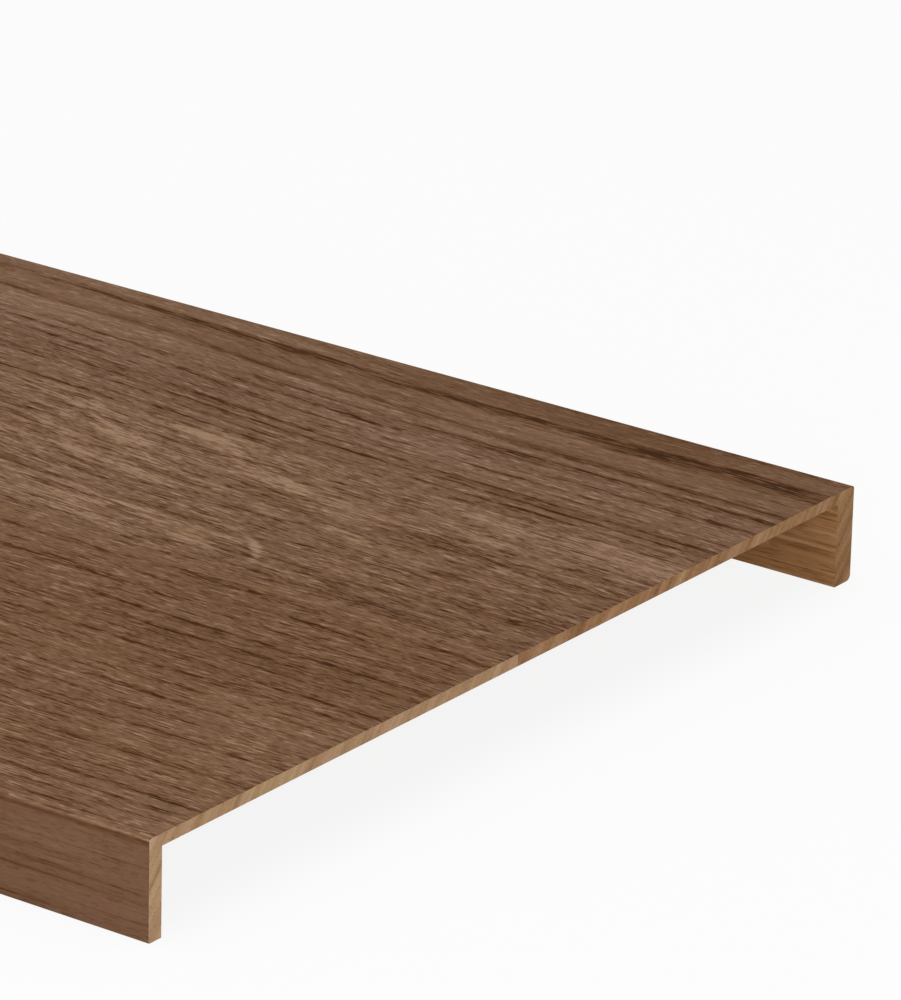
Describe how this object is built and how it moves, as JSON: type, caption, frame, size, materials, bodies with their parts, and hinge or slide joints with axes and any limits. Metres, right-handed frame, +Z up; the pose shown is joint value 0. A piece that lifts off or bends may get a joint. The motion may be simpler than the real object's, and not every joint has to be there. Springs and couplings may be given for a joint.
{
  "type": "door threshold",
  "caption": "Wooden door threshold: an inverted channel of brown-stained oak with a wide thin top, a thin front lip and a thicker rear lip, which caps a raised sill.",
  "frame": {"origin": "on the floor, under the middle of the threshold", "axes": "+X along the doorway, which is the length; +Y from the front lip to the rear lip; +Z up"},
  "size_m": [0.925, 0.28, 0.025],
  "materials": {
    "stained_oak": "brown-stained oak with matt lacquer outside, bare oak on the sawn ends and in the groove"
  },
  "bodies": {
    "root": {"threshold": "stained_oak"}
  },
  "joints": []
}
